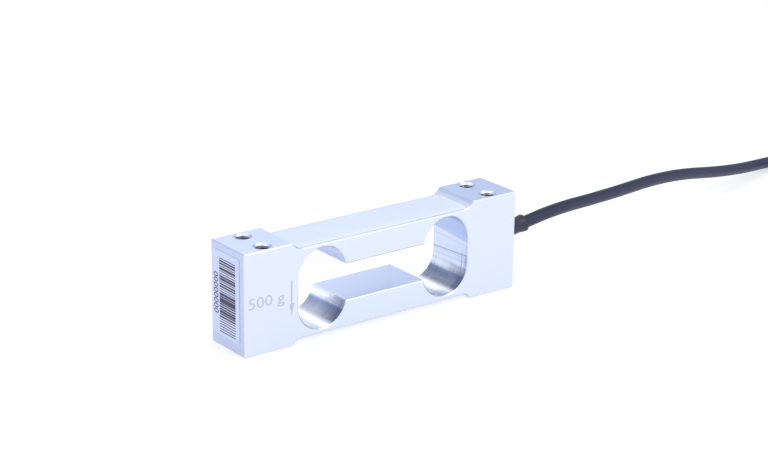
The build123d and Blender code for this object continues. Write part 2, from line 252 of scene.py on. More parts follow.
class CableSettings(bpy.types.PropertyGroup):
    diameter: length_prop("Diameter", "Outer diameter of the jacket", 0.0028)
    jacket: colour_prop("Jacket", "Colour of the cable jacket", (0.031, 0.036, 0.078))
    boot: colour_prop("Boot", "Colour of the shrunk sleeves", (0.014, 0.019, 0.044))
    boot_length: length_prop("Boot length", "Length of the boot along the cable", 0.0118)
    boot_radius: length_prop("Boot radius", "Outer radius of the boot at the bore", 0.0018)
    boot_flare: length_prop("Boot flare", "How far the boot's cut end stands out", 0.00012)


class StageSettings(bpy.types.PropertyGroup):
    lens: bpy.props.FloatProperty(
        name="Lens", description="Focal length on a 36 mm sensor", unit="CAMERA", default=96.47
    )
    distance: length_prop("Distance", "From the camera to the point it looks at", 0.430782)
    azimuth: angle_prop("Azimuth", "Turn of the camera round the cell", -37.371)
    elevation: angle_prop("Elevation", "Height angle of the camera", 19.347)
    roll: angle_prop("Roll", "Tilt of the camera", 0.79)
    target: bpy.props.FloatVectorProperty(
        name="Target",
        description="Point the camera looks at",
        subtype="XYZ",
        unit="LENGTH",
        default=(0.003975, 0.0, 0.017595),
    )
    floor: colour_prop("Floor", "Colour of the floor", (0.50, 0.50, 0.50))
    floor_glow: share_prop("Floor glow", "Light that comes up through the lit white table", 0.55)
    sky: colour_prop("Room above", "Light from above and in front", white)
    horizon: colour_prop("Room behind", "Light from low behind the cell", (0.46, 0.55, 0.795))


def mix_values(low, high, share):
    return low + (high - low) * share


def ease(value, start, end):
    """Smooth step from 0 at the start to 1 at the end."""
    share = min(1.0, max(0.0, (value - start) / (end - start)))
    return share * share * (3.0 - 2.0 * share)


def new_object(name, data):
    """New object, linked to the scene."""
    item = bpy.data.objects.new(name, data)
    bpy.context.scene.collection.objects.link(item)
    return item


def give(tree, socket, value):
    """Links a value of the tree to a socket, or sets a plain value on it."""
    if isinstance(value, Wire):
        value = value.socket
    if hasattr(value, "is_linked"):
        tree.links.new(value, socket)
    else:
        socket.default_value = value


def add_node(tree, kind, inputs=None, **options):
    """New node with its options set and its inputs linked or set."""
    made = tree.nodes.new(kind)
    for name, value in options.items():
        setattr(made, name, value)
    for name, value in (inputs or {}).items():
        give(tree, made.inputs[name], value)
    return made


class Wire:
    """Value in a shader tree, with which sums, products and masks can be written."""

    def __init__(self, tree, socket):
        self.tree = tree
        self.socket = socket

    def work_out(self, operation, *others):
        inputs = dict(enumerate((self, *others)))
        return Wire(self.tree, add_node(self.tree, "ShaderNodeMath", inputs, operation=operation).outputs[0])

    def __abs__(self):
        return self.work_out("ABSOLUTE")

    def __add__(self, other):
        return self.work_out("ADD", other)

    def __sub__(self, other):
        return self.work_out("SUBTRACT", other)

    def __mul__(self, other):
        return self.work_out("MULTIPLY", other)

    def most(self, other):
        return self.work_out("MAXIMUM", other)

    def step(self, start, end):
        """Mask that rises smoothly from 0 to 1 as the value goes from start to end."""
        inputs = {"Value": self, "From Min": start, "From Max": end}
        made = add_node(self.tree, "ShaderNodeMapRange", inputs, interpolation_type="SMOOTHSTEP")
        return Wire(self.tree, made.outputs[0])

    def ramp(self, start, end, low, high):
        """Value that goes evenly from low to high as this one goes from start to end."""
        inputs = {"Value": self, "From Min": start, "From Max": end, "To Min": low, "To Max": high}
        return Wire(self.tree, add_node(self.tree, "ShaderNodeMapRange", inputs).outputs[0])

    def choose(self, first, second):
        """Value between two others, by this mask."""
        made = add_node(self.tree, "ShaderNodeMix", {0: self, 2: first, 3: second})
        return Wire(self.tree, made.outputs[0])

    def blend(self, first, second):
        """Colour between two others, by this mask. A plain colour has three numbers."""
        made = add_node(self.tree, "ShaderNodeMix", {0: self}, data_type="RGBA")
        for socket, colour in ((made.inputs[6], first), (made.inputs[7], second)):
            give(self.tree, socket, colour if isinstance(colour, Wire) else (*colour, 1.0))
        return Wire(self.tree, made.outputs[2])


def read_axes(tree, output="Object"):
    """X, Y and Z of the object coordinates, or of another output beside them."""
    place = add_node(tree, "ShaderNodeTexCoord").outputs[output]
    return [Wire(tree, axis) for axis in add_node(tree, "ShaderNodeSeparateXYZ", {0: place}).outputs]


def shaded(colour, *shares):
    """Colour with its channels multiplied by one share, or by one share each."""
    if len(shares) == 1:
        shares = shares * 3
    return [channel * share for channel, share in zip(colour, shares)]


def new_group(name, inputs, outputs):
    """Empty shader node group with named inputs and outputs."""
    group = bpy.data.node_groups.new(name, "ShaderNodeTree")
    for label, value in inputs.items():
        socket = group.interface.new_socket(name=label, in_out="INPUT", socket_type="NodeSocketFloat")
        socket.default_value = value
    for label in outputs:
        group.interface.new_socket(name=label, in_out="OUTPUT", socket_type="NodeSocketFloat")
    entry = group.nodes.new("NodeGroupInput")
    leave = group.nodes.new("NodeGroupOutput")
    return group, entry.outputs, leave.inputs


def add_noises(group, place, given, result, layers):
    """One noise for each output of a group, all over the same coordinates."""
    for label, scale, detail in layers:
        inputs = {"Vector": place, "Scale": given[scale], "Detail": detail}
        noise = add_node(group, "ShaderNodeTexNoise", inputs)
        group.links.new(noise.outputs[0], result[label])


def grain_group():
    """Two scales of noise in object space, as a height and as a mask of light and dark patches."""
    if "Fine Grain" in bpy.data.node_groups:
        return bpy.data.node_groups["Fine Grain"]
    sizes = {"Scale": 4000.0, "Patch Scale": 300.0}
    group, given, result = new_group("Fine Grain", sizes, ("Height", "Patches"))
    place = add_node(group, "ShaderNodeTexCoord").outputs["Object"]
    add_noises(group, place, given, result, (("Height", "Scale", 3.0), ("Patches", "Patch Scale", 2.0)))
    return group


def streak_group():
    """Marks that a cutter leaves: noise drawn out along one axis, given by a stretch for each axis."""
    if "Cutter Streaks" in bpy.data.node_groups:
        return bpy.data.node_groups["Cutter Streaks"]
    sizes = {"Along X": 1.0, "Along Y": 1.0, "Along Z": 1.0, "Fine Scale": 6000.0, "Wave Scale": 420.0}
    group, given, result = new_group("Cutter Streaks", sizes, ("Fine", "Wave"))
    drawn = [axis * given[f"Along {name}"] for name, axis in zip("XYZ", read_axes(group))]
    vector = add_node(group, "ShaderNodeCombineXYZ", dict(enumerate(drawn))).outputs[0]
    add_noises(group, vector, given, result, (("Fine", "Fine Scale", 3.0), ("Wave", "Wave Scale", 2.5)))
    return group


def use_group(tree, group, **inputs):
    """Outputs of a group placed in a tree, by name."""
    made = add_node(tree, "ShaderNodeGroup", node_tree=group)
    for name, value in inputs.items():
        made.inputs[name.replace("_", " ")].default_value = value
    return {output.name: Wire(tree, output) for output in made.outputs}


def new_material(name, colour, roughness, **plain):
    """Material with a Principled shader. Its plain values are set on the shader's own sockets."""
    material = bpy.data.materials.new(name)
    material.use_nodes = True
    shader = material.node_tree.nodes["Principled BSDF"]
    shader.inputs["Base Color"].default_value = (*colour, 1.0)
    shader.inputs["Roughness"].default_value = roughness
    for label, value in plain.items():
        shader.inputs[label.replace("_", " ")].default_value = value
    return material, material.node_tree, shader


def link_bump(shader, height, distance, strength=1.0, under=None):
    """Bump of a height in metres, over another bump if one is given."""
    tree = height.tree
    bump = add_node(tree, "ShaderNodeBump", {"Height": height, "Distance": distance, "Strength": strength})
    if under is not None:
        tree.links.new(under, bump.inputs["Normal"])
    tree.links.new(bump.outputs[0], shader.inputs["Normal"])
    return bump.outputs[0]


def soft_material(name, colour, finish=None, **plain):
    """Plastic, rubber or paper: its colour varies in patches and it has a fine grain."""
    patch_size, uneven = 14.0, 0.16
    roughness, grain, depth, vary = soft_finishes[finish or name]
    material, tree, shader = new_material(name, colour, roughness, **plain)
    noise = use_group(tree, grain_group(), Scale=grain, Patch_Scale=grain / patch_size)
    lighter = [min(1.0, channel) for channel in shaded(colour, 1.0 + vary)]
    give(tree, shader.inputs["Base Color"], noise["Patches"].blend(shaded(colour, 1.0 - vary), lighter))
    give(tree, shader.inputs["Roughness"], noise["Patches"] * uneven + (roughness - uneven / 2))
    link_bump(shader, noise["Height"], depth)
    return material


def make_jacket(settings):
    """Matt cable jacket, with painted shade along its upper side."""
    upper_start, upper_end, upper_strength, painted_shade_tone = 0.45, 0.98, 0.6, 0.35
    material = soft_material("cable_jacket", settings.jacket, Specular_IOR_Level=0.25)
    tree = material.node_tree
    base = tree.nodes["Principled BSDF"].inputs["Base Color"]
    plain = Wire(tree, base.links[0].from_socket)
    # painted shade on the upper side of the jacket
    upper = read_axes(tree, "Normal")[2].step(upper_start, upper_end) * upper_strength
    give(tree, base, upper.blend(plain, shaded(settings.jacket, painted_shade_tone)))
    return material


def make_aluminium(settings):
    """Aluminium: ground outer faces, and a milled window with the marks of the cutter. Its colour also holds
    painted shade, a painted highlight and painted reflections.
    """
    material, tree, shader = new_material("aluminium", settings.metal, settings.flat_roughness, Metallic=1.0)
    axes = read_axes(tree)
    normal = read_axes(tree, "Normal")
    x, y, z = axes
    not_front, not_level, near_upright = (0.60, 0.30), (0.97, 0.90), (0.35, 0.10)
    window = abs(x).step(window_end + window_edge, window_end)
    window *= abs(z - mid_height).step(window_half + window_edge, window_half)
    window *= abs(normal[1]).step(*not_front)
    curved = window * abs(normal[2]).step(*not_level)
    # Near-upright curved walls of the window, which get painted shade
    upright = curved * abs(normal[2]).step(*near_upright)
    streaks = streak_group()
    across = use_group(tree, streaks, Along_Y=0.02, Fine_Scale=5200.0, Wave_Scale=520.0)
    around = use_group(tree, streaks, Along_X=0.04, Along_Z=0.04, Fine_Scale=5200.0, Wave_Scale=1500.0)
    along = use_group(tree, streaks, Along_X=0.03, Along_Y=0.6, Fine_Scale=7000.0, Wave_Scale=160.0)
    patches = use_group(tree, grain_group(), Scale=2600.0, Patch_Scale=120.0)["Patches"]

    flat_vary, cut_vary = 0.10, 0.14
    streak_tint, patch_tint, least_tint = 0.5, 0.10, 0.25
    flat = along["Fine"] * flat_vary + (settings.flat_roughness - flat_vary / 2)
    bright = across["Fine"] * cut_vary + (settings.cut_roughness - cut_vary / 2)
    give(tree, shader.inputs["Roughness"], curved.choose(flat, bright))

    tones = {name: shaded(settings.metal, *shares) for name, shares in finish_and_painted_light_shares.items()}
    # Slanted line above which painted dark reflection covers the curved walls
    slant, above_start, above_end = 0.078, 0.0131, 0.0134
    # Heights over which the painted highlight comes in towards the bottom of the window
    lobe_floor_start, lobe_floor_end = 0.0046, 0.0026
    # Masks and tones of the finishes, and of the painted shade, highlight and reflections
    finishes = (
        (end_mask(x, normal[0]), tones["painted_end_shade"]),
        (window * z.step(lobe_floor_start, lobe_floor_end), painted_lower_highlight),
        # painted shade and dark reflection in the curves
        (curved * lobe_shade(x, y, normal[2], across, around), tones["painted_dark_band"]),
        (upright, tones["upright"]),
        (curved * (z - y * slant).step(above_start, above_end), tones["painted_upper_reflection"]),
        (curved * askew_lines_mask(y, z, across["Wave"]), tones["dull"]),
        (hole_mask(axes), tones["painted_hole_shade"]),
    )
    tint = along["Wave"] * streak_tint + patches * patch_tint + least_tint
    colour = tint.blend(tones["worn"], settings.metal)
    for mask, tone in finishes:
        colour = mask.blend(colour, tone)
    give(tree, shader.inputs["Base Color"], colour)

    wave_depth, fine_depth = 0.00006, 0.0000025
    under = link_bump(shader, (across["Wave"] + around["Wave"]) * curved, wave_depth)
    link_bump(shader, window.choose(along["Fine"], across["Fine"]), fine_depth, 1.0, under)
    return material


def end_mask(x, facing):
    """Mask of the two end faces, which are cut to length and darkened with painted shade."""
    return abs(facing).step(0.80, 0.95) * abs(x).step(beam_high.x - 0.0005, beam_high.x - 0.0002)


def lobe_shade(x, y, facing, across, around):
    """Mask of the painted shade and painted dark reflection in the curves where the window turns into the
    thin sections.

    It is strongest in front, and starts earlier there and in the slot at the cable's end.
    """
    far_slot = x.step(0.0, 0.001)
    early = far_slot.most(y.step(0.002, -0.004)) * 0.26
    comb = (around["Wave"] - 0.5) * (far_slot * 0.25 + 0.15)
    rises = (early + facing + comb).step(0.32, 0.52)
    fades = facing.step(0.97, 0.86)
    forward = y.ramp(0.005, -0.005, 0.08, 1.0)
    lower = facing.step(0.42, 0.66) * 0.42 + far_slot * 0.40
    uneven = (across["Wave"] + around["Fine"]) * 0.5 + 0.45
    return rises * fades * forward.most(lower) * uneven


def askew_lines_mask(y, z, waver):
    """Mask of a few dark lines across the upright walls, each a little askew."""
    waver_height, core_share = 0.0002, 0.3
    lines = None
    for height, slope, half, strength in askew_line_marks:
        level = z - y * slope + (waver - 0.5) * waver_height
        line = abs(level - height).step(half, half * core_share) * strength
        lines = line if lines is None else lines.most(line)
    return lines


def hole_mask(axes):
    """Mask of the inside of the mounting holes below the countersinks, which painted shade darkens."""
    aside = abs(axes[0]) - (beam_high.x - hole_from_end)
    over = abs(axes[1]) - hole_spacing / 2
    far = (aside * aside + over * over).work_out("SQRT")
    return far.step(thread_radius + 0.00012, thread_radius + 0.00004) * deep_mask(axes[2])


def deep_mask(z):
    """Mask of what lies below the countersinks, from either face."""
    top = mid_height - countersink_depth
    return abs(z - mid_height).step(top, top - hole_shade_depth)


def make_thread_metal(settings):
    """Cut thread: bright near the mouth and darkened further in by painted shade."""
    material, tree, shader = new_material("cut_thread", settings.metal, 0.22, Metallic=1.0)
    noise = use_group(tree, grain_group(), Scale=5000.0, Patch_Scale=900.0)
    bright = noise["Patches"].blend(shaded(settings.metal, 0.6), settings.metal)
    painted_hole_shade = shaded(settings.metal, *finish_and_painted_light_shares["painted_hole_shade"])
    give(tree, shader.inputs["Base Color"], deep_mask(read_axes(tree)[2]).blend(bright, painted_hole_shade))
    link_bump(shader, noise["Height"], 0.000006)
    return material


def make_silicone(settings, name, alpha):
    """Milky silicone with a soft, slightly uneven skin."""
    skin = {"Coat_Weight": 0.25, "Coat_Roughness": 0.18}
    cloud_depth, cloud_strength, grain_depth = 0.00012, 0.6, 0.000008
    material, tree, shader = new_material(name, settings.silicone, 0.38, Alpha=alpha, **skin)
    noise = use_group(tree, grain_group(), Scale=1500.0, Patch_Scale=160.0)
    cloudy = noise["Patches"].blend(shaded(settings.silicone, 0.94), settings.silicone)
    give(tree, shader.inputs["Base Color"], cloudy)
    under = link_bump(shader, noise["Patches"], cloud_depth, cloud_strength)
    link_bump(shader, noise["Height"], grain_depth, 1.0, under)
    return material


def make_layered(name, base, over, start, metal_over, roughness):
    """Film or laminate whose pattern stands over its base: the pattern starts so far from mid height."""
    edge = 0.000004
    material, tree, shader = new_material(name, base, roughness)
    mask = abs(read_axes(tree)[2] - mid_height).step(start, start + edge)
    noise = use_group(tree, grain_group(), Scale=6000.0, Patch_Scale=1200.0)
    ground = noise["Patches"].blend(shaded(base, 0.8), base)
    give(tree, shader.inputs["Base Color"], mask.blend(ground, over))
    give(tree, shader.inputs["Metallic"], mask * metal_over)
    link_bump(shader, noise["Height"], 0.000003)
    return material


def make_chip(name, half_body):
    """Black chip whose metal ends are found by how far they lie from the chip's middle."""
    body, worn_tin, tin = (0.02, 0.02, 0.022), (0.55, 0.55, 0.56), (0.8, 0.8, 0.8)
    edge = 0.00001
    low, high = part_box(name)
    material, tree, shader = new_material(name, body, 0.4)
    mask = abs(read_axes(tree)[1] - (low.y + high.y) / 2).step(half_body, half_body + edge)
    noise = use_group(tree, grain_group(), Scale=9000.0, Patch_Scale=2000.0)
    metal = noise["Patches"].blend(worn_tin, tin)
    give(tree, shader.inputs["Base Color"], mask.blend(body, metal))
    give(tree, shader.inputs["Metallic"], mask)
    link_bump(shader, noise["Height"], 0.000004)
    return material


def dress(name, material):
    """Gives a CAD node its finish."""
    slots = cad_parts[name].data.materials
    slots.clear()
    slots.append(material)


def add_piece(name, mesh, material, smooth=True):
    """New piece of the object, riding on its one body."""
    piece = new_object(name, mesh)
    if material is not None:
        mesh.materials.clear()
        mesh.materials.append(material)
    if smooth:
        mesh.shade_smooth()
    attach(piece, "root")
    return piece


def mesh_from(name, points, faces):
    """Mesh with its doubles merged and its faces pointing outwards."""
    mesh = bpy.data.meshes.new(name)
    work = bmesh.new()
    corners = [work.verts.new(point) for point in points]
    for face in faces:
        work.faces.new([corners[index] for index in face])
    bmesh.ops.remove_doubles(work, verts=work.verts, dist=1e-8)
    bmesh.ops.recalc_face_normals(work, faces=work.faces)
    work.to_mesh(mesh)
    work.free()
    return mesh


def prism_mesh(name, near, far):
    """Closed body between two outlines with the same number of points."""
    number = len(near)
    faces = [tuple(range(number)), tuple(range(2 * number - 1, number - 1, -1))]
    for index in range(number):
        after = (index + 1) % number
        faces.append((index, number + index, number + after, after))
    return mesh_from(name, near + far, faces)


def plain_mesh(item):
    """Mesh of an object with its modifiers, its text or its curve worked out."""
    shown = item.evaluated_get(bpy.context.evaluated_depsgraph_get())
    return bpy.data.meshes.new_from_object(shown)


def nurbs_curve(name, points, radius, steps, round_steps):
    """Curve object with one smooth open spline through its control points."""
    data = bpy.data.curves.new(name, "CURVE")
    data.dimensions = "3D"
    data.bevel_depth = radius
    data.bevel_resolution = round_steps
    data.use_fill_caps = radius > 0
    spline = data.splines.new("NURBS")
    spline.points.add(len(points) - 1)
    for point, place in zip(spline.points, points):
        point.co = (*place, 1.0)
    spline.order_u = 3
    spline.use_endpoint_u = True
    spline.resolution_u = steps
    return new_object(name, data)


def read_line(points, steps):
    """Points along the smooth line of a route, as Blender gives them for a curve without thickness."""
    bare = nurbs_curve("line_only", points, 0.0, steps, 0)
    mesh = plain_mesh(bare)
    line = [vertex.co.copy() for vertex in mesh.vertices]
    bpy.data.objects.remove(bare)
    bpy.data.meshes.remove(mesh)
    return line


def line_length(line):
    return sum((after - before).length for before, after in zip(line, line[1:]))


def place_on(line, distance):
    """Point and direction on a line at a distance from its start. Past its ends it goes on straight."""
    gone = 0.0
    for before, after in zip(line, line[1:]):
        run = (after - before).length
        if gone + run >= distance:
            break
        gone += run
    direction = (after - before).normalized()
    if gone + run < distance:
        return after + direction * (distance - gone - run), direction
    return before + direction * (distance - gone), direction


def ring_angles(count):
    """Evenly spread angles of a ring, from its upper side."""
    return [2 * math.pi * index / count for index in range(count)]


def ring_points(centre, direction, radii):
    """Ring round a line, with one radius for each of its angles."""
    side = direction.cross(Vector((0, 0, 1))).normalized()
    up = side.cross(direction).normalized()
    ring = []
    for angle, radius in zip(ring_angles(len(radii)), radii):
        ring.append(centre + (up * math.cos(angle) + side * math.sin(angle)) * radius)
    return ring


def ring_mesh(name, rings, closed):
    """Mesh over a row of rings, closed back to the first one or capped at both ends."""
    count = len(rings[0])
    last = len(rings) - 1
    faces = []
    for first in range(len(rings) if closed else last):
        second = (first + 1) % len(rings)
        for index in range(count):
            after = (index + 1) % count
            corners = ((first, index), (first, after), (second, after), (second, index))
            faces.append(tuple(ring * count + corner for ring, corner in corners))
    if not closed:
        faces.append(tuple(range(count)))
        faces.append(tuple(range(last * count, len(rings) * count)))
    return mesh_from(name, [point for ring in rings for point in ring], faces)


def coil_points():
    """Control points of the coil. Each lies outside its turn, so that the curve keeps the turn's radius."""
    step = coil_turned / coil_steps
    points = []
    for index in range(coil_steps):
        turned = (index + 0.5) * step
        degrees = math.degrees(turned)
        radius = mix_values(coil_outer, coil_inner, ease(degrees, *coil_inwards))
        radius += (coil_upper - coil_inner) * ease(degrees, *coil_outwards)
        height = mix_values(coil_floor_height, coil_top_height, ease(degrees, *coil_climb))
        passing = ease(degrees, *coil_hump_starts) - ease(degrees, *coil_hump_ends)
        height += coil_hump * (passing + ease(degrees, *coil_hump_again))
        reach = radius / math.cos(step / 2)
        points.append(coil_centre + Vector((math.sin(turned) * reach, math.cos(turned) * reach, height)))
    return points


def leaving_points():
    """Control points from where the cable leaves the coil to its end."""
    start = coil_centre + Vector((math.sin(coil_turned), math.cos(coil_turned), 0)) * coil_upper
    along = Vector((math.cos(coil_turned), -math.sin(coil_turned), 0))
    points = []
    for distance, height in zip(leave_distances, leave_heights):
        point = start + along * distance
        points.append(Vector((point.x, point.y, height)))
    return points + [Vector(point) for point in end_route]


def cable_points():
    return [Vector(point) for point in cable_route] + coil_points() + leaving_points()


def cable_line():
    """Points along the middle of the cable, from inside the bore to its end."""
    return read_line(cable_points(), cable_steps)


def core_points(name):
    """Route of one bare core, from the sleeve's nose down to the floor."""
    before, end = (Vector(point) for point in end_route)
    nose = (end - before).normalized()
    ahead = Vector((nose.x, nose.y, 0)).normalized()
    aside = Vector((-ahead.y, ahead.x, 0))
    left = 1 if name in ("red", "black") else -1
    up = 1 if name in ("black", "green") else -1
    start = end + nose * sleeve_ahead + aside * (left * core_offset) + nose.cross(aside) * (up * core_offset)
    points = [start - nose * core_straight, start, start + nose * core_straight]
    heights = (mix_values(start.z, core_radius, core_drop_share), core_radius, core_radius)
    for reach, sideways, height in zip(core_reach, core_spread[name], heights):
        point = start + ahead * reach + aside * sideways
        points.append(Vector((point.x, point.y, height)))
    return points


class LOADCELL_OT_cable(bpy.types.Operator):
    """Makes the jacket of the cable along its route, its coil and its last stretch"""

    bl_idname = "loadcell.cable"
    bl_label = "Cable"

    def execute(self, context):
        settings = context.scene.loadcell_cable
        round_steps = 7
        cable = nurbs_curve("cable", cable_points(), settings.diameter / 2, cable_steps, round_steps)
        cable.data.materials.append(make_jacket(settings))
        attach(cable, "root")
        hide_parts("cable_tube", "cable_coil", "cable_end")
        return {"FINISHED"}


class LOADCELL_OT_boot(bpy.types.Operator):
    """Makes the shrunk boot round the cable where it leaves the beam, with its unevenly cut end"""

    bl_idname = "loadcell.boot"
    bl_label = "Boot"

    # Unevenness of the skin, flare of the lining, and how uneven the cut end is
    dip_depth = 0.00005
    ripple_depth = 0.00003
    lining_flare = 0.6
    cut_slant = 0.00022
    cut_waves = 0.0001

    def execute(self, context):
        settings = context.scene.loadcell_cable
        line = cable_line()
        row_count = 26
        rows = [boot_inset + settings.boot_length * row / row_count for row in range(row_count + 1)]
        rings = []
        for wall, distances in ((1.0, rows), (0.0, rows[::-1])):
            for distance in distances:
                share = (distance - rows[0]) / (rows[-1] - rows[0])
                rings.append(self.make_ring(settings, *place_on(line, distance), share, wall))
        mesh = ring_mesh("boot_sleeve", rings, True)
        boot = add_piece("boot_sleeve", mesh, soft_material("boot_rubber", settings.boot))
        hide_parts("cable_boot")
        return {"FINISHED"}

    def make_ring(self, settings, centre, direction, share, wall):
        """Ring at a share of the boot's length, on its lining at wall 0 and on its skin at wall 1."""
        angles = ring_angles(40)
        flare = settings.boot_flare * ease(share, 0.80, 1.0)
        lining = settings.diameter / 2 + flare * self.lining_flare
        skin = settings.boot_radius + flare + self.dip_depth * math.sin(share * 21.0)
        ripples = [self.ripple_depth * math.sin(3 * angle + 9 * share) for angle in angles]
        ring = ring_points(centre, direction, [mix_values(lining, skin + ripple, wall) for ripple in ripples])
        for point, angle in zip(ring, angles):
            uneven = self.cut_slant * math.cos(angle - 0.5) + self.cut_waves * math.cos(3 * angle + 1.0)
            point -= direction * (uneven * ease(share, 0.85, 1.0))
        return ring


class LOADCELL_OT_cable_tip(bpy.types.Operator):
    bl_idname = "loadcell.cable_tip"
    bl_label = "Cable End"

    core_colours = {
        "red": (0.50, 0.020, 0.018),
        "black": (0.018, 0.018, 0.020),
        "green": (0.015, 0.22, 0.060),
        "white": (0.78, 0.78, 0.75),
    }
    # Steps along each stretch of a core's line, and round it
    core_steps = (14, 4)

    def execute(self, context):
        settings = context.scene.loadcell_cable
        pieces = [bpy.data.objects["boot_sleeve"], self.make_sleeve(settings)]
        for name, colour in self.core_colours.items():
            material = soft_material(f"core_{name}", colour, "core")
            dress(f"core_{name}", material)
            core = nurbs_curve(f"bare_core_{name}", core_points(name), core_radius, *self.core_steps)
            core.data.materials.append(material)
            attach(core, "root")
            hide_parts(f"tail_{name}")
            pieces.append(core)
        strands = self.make_strands()
        for name in self.core_colours:
            dress(f"tip_{name}", strands)
            pieces.append(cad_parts[f"tip_{name}"])
        round(line_length(cable_line()), 3)
        return {"FINISHED"}

    def make_sleeve(self, settings):
        """Sleeve that has shrunk over the jacket's end and, past it, round the four cores."""
        line = cable_line()
        total = line_length(line)
        angles = ring_angles(48)
        row_count = 32
        wall, cores, lip_height, lip_length = 0.00035, 0.00102, 0.00006, 0.0007
        pinch_depth, jacket_end, cores_start, lining_share = 0.00016, -0.0002, 0.0022, 0.98
        jacket = settings.diameter / 2
        rows = [mix_values(-sleeve_behind, sleeve_ahead, row / row_count) for row in range(row_count + 1)]
        rings = [ring_points(*place_on(line, total + rows[0]), [jacket * lining_share] * len(angles))]
        for ahead in rows:
            over_cores = ease(ahead, jacket_end, cores_start)
            body = mix_values(jacket + wall, cores, over_cores)
            lip = lip_height * (1.0 - ease(ahead, rows[0], rows[0] + lip_length))
            pinch = pinch_depth * over_cores
            radii = [body + lip - pinch * (0.5 - 0.5 * math.cos(4 * angle + math.pi)) for angle in angles]
            rings.append(ring_points(*place_on(line, total + ahead), radii))
        material = soft_material("shrink_rubber", settings.boot)
        sleeve = add_piece("end_shrink", ring_mesh("end_shrink", rings, False), material)
        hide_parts("end_sleeve")
        return sleeve

    def make_strands(self):
        """Tinned copper strands."""
        copper, tin = (0.50, 0.46, 0.40), (0.80, 0.80, 0.79)
        material, tree, shader = new_material("tinned_strands", (0.70, 0.69, 0.66), 0.3, Metallic=1.0)
        noise = use_group(tree, grain_group(), Scale=9000.0, Patch_Scale=3000.0)
        give(tree, shader.inputs["Base Color"], noise["Patches"].blend(copper, tin))
        link_bump(shader, noise["Height"], 0.00002)
        return material


class LOADCELL_OT_beam(bpy.types.Operator):
    """Gives the milled beam its aluminium, and the bore its potting"""

    bl_idname = "loadcell.beam"
    bl_label = "Beam"

    def execute(self, context):
        dress("beam", make_aluminium(context.scene.loadcell_beam))
        dress("bore_potting", soft_material("potting", (0.03, 0.031, 0.036)))
        return {"FINISHED"}


def new_tree(name, inputs):
    """Empty Geometry Nodes tree with named inputs, and the identifiers by which they are set."""
    tree = bpy.data.node_groups.new(name, "GeometryNodeTree")
    sockets = {}
    for label, kind in {"Geometry": "Geometry", **inputs}.items():
        socket = tree.interface.new_socket(name=label, in_out="INPUT", socket_type=f"NodeSocket{kind}")
        sockets[label] = socket.identifier
    tree.interface.new_socket(name="Geometry", in_out="OUTPUT", socket_type="NodeSocketGeometry")
    return tree, sockets, tree.nodes.new("NodeGroupInput").outputs


def grow(tree, kind, inputs, **options):
    """First output of a new Geometry Nodes node."""
    return add_node(tree, kind, inputs, **options).outputs[0]


def finish_tree(tree, placed, material):
    """Makes the placed copies real, gives them their material and puts them out."""
    real = grow(tree, "GeometryNodeRealizeInstances", {0: placed})
    finished = grow(tree, "GeometryNodeSetMaterial", {"Geometry": real, "Material": material})
    tree.links.new(finished, tree.nodes.new("NodeGroupOutput").inputs[0])


def thread_tree():
    """Geometry Nodes tree that sets one helical thread in every hole whose mouth is a point."""
    kinds = {"Turns": "Float", "Depth": "Float", "Radius": "Float", "Ridge": "Float", "Metal": "Material"}
    tree, sockets, given = new_tree("Hole Threads", kinds)
    turn_steps, ridge_corners = 26, 4
    sizes = {"Rotations": given["Turns"], "Height": given["Depth"]}
    radii = {"Start Radius": given["Radius"], "End Radius": given["Radius"]}
    helix = grow(tree, "GeometryNodeCurveSpiral", {"Resolution": turn_steps, **sizes, **radii})
    upright = grow(tree, "GeometryNodeSetCurveNormal", {0: helix}, mode="Z_UP")
    corners = {"Resolution": ridge_corners, "Radius": given["Ridge"]}
    profile = grow(tree, "GeometryNodeCurvePrimitiveCircle", corners)
    ridge = grow(tree, "GeometryNodeCurveToMesh", {0: upright, 1: profile, "Fill Caps": True})
    flat = grow(tree, "GeometryNodeSetShadeSmooth", {"Geometry": ridge, "Shade Smooth": False})
    points = grow(tree, "GeometryNodeMeshToPoints", {"Mesh": given["Geometry"]})
    turn = grow(tree, "GeometryNodeInputNamedAttribute", {"Name": "turn"}, data_type="FLOAT_VECTOR")
    holes = {"Points": points, "Instance": flat, "Rotation": turn}
    finish_tree(tree, grow(tree, "GeometryNodeInstanceOnPoints", holes), given["Metal"])
    return tree, sockets


def run_tree(name, start_mesh, tree, sockets, values):
    """Piece made by a Geometry Nodes tree from a start mesh, as a plain mesh."""
    maker = new_object(f"{name}_maker", start_mesh)
    modifier = maker.modifiers.new("maker", "NODES")
    modifier.node_group = tree
    for label, value in values.items():
        modifier[sockets[label]] = value
    mesh = plain_mesh(maker)
    bpy.data.objects.remove(maker)
    mesh.name = name
    if not mesh.polygons:
        raise RuntimeError(f"{name} came out empty")
    return add_piece(name, mesh, None, False)


class LOADCELL_OT_threads(bpy.types.Operator):
    """Cuts the thread into each of the eight mounting holes"""

    bl_idname = "loadcell.threads"
    bl_label = "Threads"

    def execute(self, context):
        settings = context.scene.loadcell_beam
        run = thread_depth - countersink_depth - 2 * thread_ridge
        inset = thread_depth - thread_ridge
        mouths = []
        for x in (beam_low.x + hole_from_end, beam_high.x - hole_from_end):
            for y in (-hole_spacing / 2, hole_spacing / 2):
                mouths.append(((x, y, beam_high.z - inset), 0.0))
                mouths.append(((x, y, beam_low.z + inset), math.pi))
        mesh = bpy.data.meshes.new("hole_mouths")
        mesh.from_pydata([place for place, _ in mouths], [], [])
        turns = mesh.attributes.new("turn", "FLOAT_VECTOR", "POINT")
        for item, (_, turn) in zip(turns.data, mouths):
            item.vector = (turn, 0.0, 0.0)
        tree, sockets = thread_tree()
        values = {
            "Turns": run / thread_pitch,
            "Depth": run,
            "Radius": thread_radius,
            "Ridge": thread_ridge,
            "Metal": make_thread_metal(settings),
        }
        run_tree("hole_threads", mesh, tree, sockets, values)
        return {"FINISHED"}


